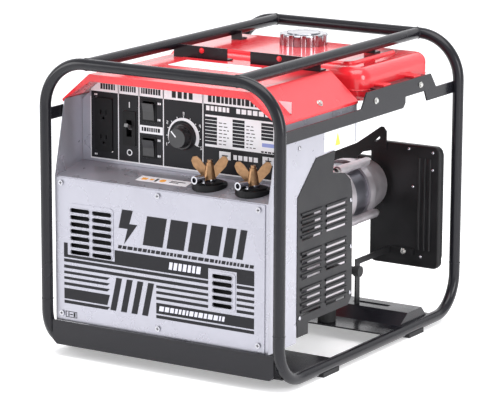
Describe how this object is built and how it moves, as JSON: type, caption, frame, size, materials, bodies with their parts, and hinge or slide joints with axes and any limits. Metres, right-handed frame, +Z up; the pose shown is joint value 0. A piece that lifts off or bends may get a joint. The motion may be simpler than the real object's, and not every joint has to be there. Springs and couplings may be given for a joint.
{
  "type": "engine driven welder",
  "caption": "Portable engine driven arc welder and generator in a tubular frame, with a control box, wing nut weld terminals, fuel tank and muffler.",
  "frame": {"origin": "centre of the footprint, on the floor under the rubber feet", "axes": "+Z up, -Y toward the control side, +X to the right when facing the controls; +Y runs along the crankshaft to the generator end"},
  "size_m": [0.5382, 0.7022, 0.5811],
  "materials": {
    "frame_paint": "semi-gloss dark paint",
    "rubber_black": "matt",
    "sheet_grey": "satin silver-grey paint",
    "panel_grey": "satin silver-grey paint",
    "chrome": "bright",
    "hood_red": "gloss red paint",
    "black_sheet": "satin black paint",
    "dark_panel": "satin dark print on sheet",
    "black_plastic": "matt",
    "lever_white": "gloss",
    "knob_black": "gloss",
    "brass": "bare",
    "core_steel": "laminated, varnished",
    "board_green": "varnished",
    "copper_winding": "varnished copper wire",
    "cast_aluminium": "as cast",
    "shaft_steel": "machined",
    "zinc_steel": "zinc plated",
    "cast_iron": "as cast",
    "ivory_plastic": "gloss",
    "exhaust_black": "heat-proof matt black",
    "tank_red": "gloss red paint"
  },
  "bodies": {
    "frame": {"front_hoop": "frame_paint", "rear_hoop": "frame_paint", "left_skid": "frame_paint", "right_skid": "frame_paint", "top_rails": "frame_paint", "rubber_feet": "rubber_black", "front_tray": "frame_paint", "rear_hat_member": "frame_paint", "side_rails": "frame_paint", "tank_brackets": "frame_paint", "control_box_shell": "sheet_grey", "front_lower_panel": "panel_grey", "panel_screws": "chrome", "top_cover": "hood_red", "side_louvre_cover": "black_sheet", "control_panel": "dark_panel", "duplex_outlet": "black_plastic", "breaker_body": "black_plastic", "rocker_switch_bodies": "black_plastic", "dial_potentiometer": "black_plastic", "terminal_bases": "black_plastic", "terminal_studs_and_washers": "brass", "cable_sockets": "chrome", "reactor_and_rectifier": "core_steel", "control_board": "board_green", "stator_core": "core_steel", "stator_windings": "copper_winding", "generator_adapter": "cast_aluminium", "generator_end_cover": "cast_aluminium", "rotor_bearing": "shaft_steel", "generator_through_bolts": "zinc_steel", "crankcase": "cast_aluminium", "cylinder_and_head": "cast_aluminium", "rocker_cover": "cast_aluminium", "spark_plug": "ivory_plastic", "blower_housing": "black_sheet", "recoil_cover": "black_sheet", "carburettor": "cast_aluminium", "air_cleaner": "black_plastic", "muffler": "exhaust_black", "exhaust_pipe_and_stays": "exhaust_black", "engine_bed": "black_sheet", "rubber_mounts": "rubber_black", "fuel_tank": "tank_red", "fuel_cock": "brass"},
    "crank": {"rotor": "core_steel", "crankshaft": "shaft_steel", "flywheel_fan": "cast_iron"},
    "dial": {"dial_knob": "knob_black"},
    "breaker": {"breaker_lever": "lever_white"},
    "slow_down_switch": {"slow_down_rocker": "knob_black"},
    "frequency_switch": {"frequency_rocker": "knob_black"},
    "wing_nut_plus": {"wing_nut_1": "brass"},
    "wing_nut_minus": {"wing_nut_2": "brass"},
    "tank_cap": {"fuel_cap": "chrome"},
    "choke": {"choke_lever": "black_plastic"},
    "fuel_valve": {"fuel_cock_lever": "black_plastic"},
    "starter_grip": {"recoil_grip": "black_plastic"},
    "starter_pulley": {"recoil_pulley": "black_plastic"},
    "oil_cap": {"oil_filler_cap": "black_plastic"}
  },
  "joints": [
    {"name": "crank_spin", "type": "hinge", "parent": "frame", "child": "crank", "pos_m": [0.085, 0, 0.265], "axis": [0, 1, 0], "continuous": true},
    {"name": "dial_turn", "type": "hinge", "parent": "frame", "child": "dial", "pos_m": [-0.012, -0.24, 0.435], "axis": [0, 1, 0], "range_deg": [-105, 195]},
    {"name": "breaker_toggle", "type": "hinge", "parent": "frame", "child": "breaker", "pos_m": [-0.134, -0.235, 0.4375], "axis": [1, 0, 0], "range_deg": [0, 44]},
    {"name": "slow_down_rock", "type": "hinge", "parent": "frame", "child": "slow_down_switch", "pos_m": [-0.0895, -0.238, 0.4755], "axis": [1, 0, 0], "range_deg": [-16, 0]},
    {"name": "frequency_rock", "type": "hinge", "parent": "frame", "child": "frequency_switch", "pos_m": [-0.0895, -0.238, 0.406], "axis": [1, 0, 0], "range_deg": [-16, 0]},
    {"name": "wing_nut_plus_turn", "type": "hinge", "parent": "frame", "child": "wing_nut_plus", "pos_m": [0.074, -0.286, 0.385], "axis": [0, 0, 1], "range_deg": [0, 720]},
    {"name": "wing_nut_minus_turn", "type": "hinge", "parent": "frame", "child": "wing_nut_minus", "pos_m": [0.168, -0.286, 0.385], "axis": [0, 0, 1], "range_deg": [0, 720]},
    {"name": "tank_cap_turn", "type": "hinge", "parent": "frame", "child": "tank_cap", "pos_m": [-0.014, 0.195, 0.555], "axis": [0, 0, 1], "range_deg": [0, 90]},
    {"name": "choke_swing", "type": "hinge", "parent": "frame", "child": "choke", "pos_m": [-0.04866, 0.052, 0.41098], "axis": [0, 1, 0], "range_deg": [0, 75]},
    {"name": "fuel_valve_turn", "type": "hinge", "parent": "frame", "child": "fuel_valve", "pos_m": [-0.1468, 0.04, 0.467], "axis": [1, 0, 0], "range_deg": [-90, 0]},
    {"name": "starter_pull", "type": "slide", "parent": "frame", "child": "starter_grip", "axis": [-1, 0, 0], "range_m": [0, 0.6]},
    {"name": "starter_pulley_turn", "type": "hinge", "parent": "frame", "child": "starter_pulley", "pos_m": [0.085, -0.162, 0.265], "axis": [0, -1, 0], "range_deg": [0, 800]},
    {"name": "oil_cap_turn", "type": "hinge", "parent": "frame", "child": "oil_cap", "pos_m": [0.171, -0.02, 0.155], "axis": [1, 0, 0], "range_deg": [0, 720]}
  ],
  "couplings": [
    {"joint": "starter_pulley_turn", "follows": "starter_pull", "rad_per_m": 23}
  ]
}
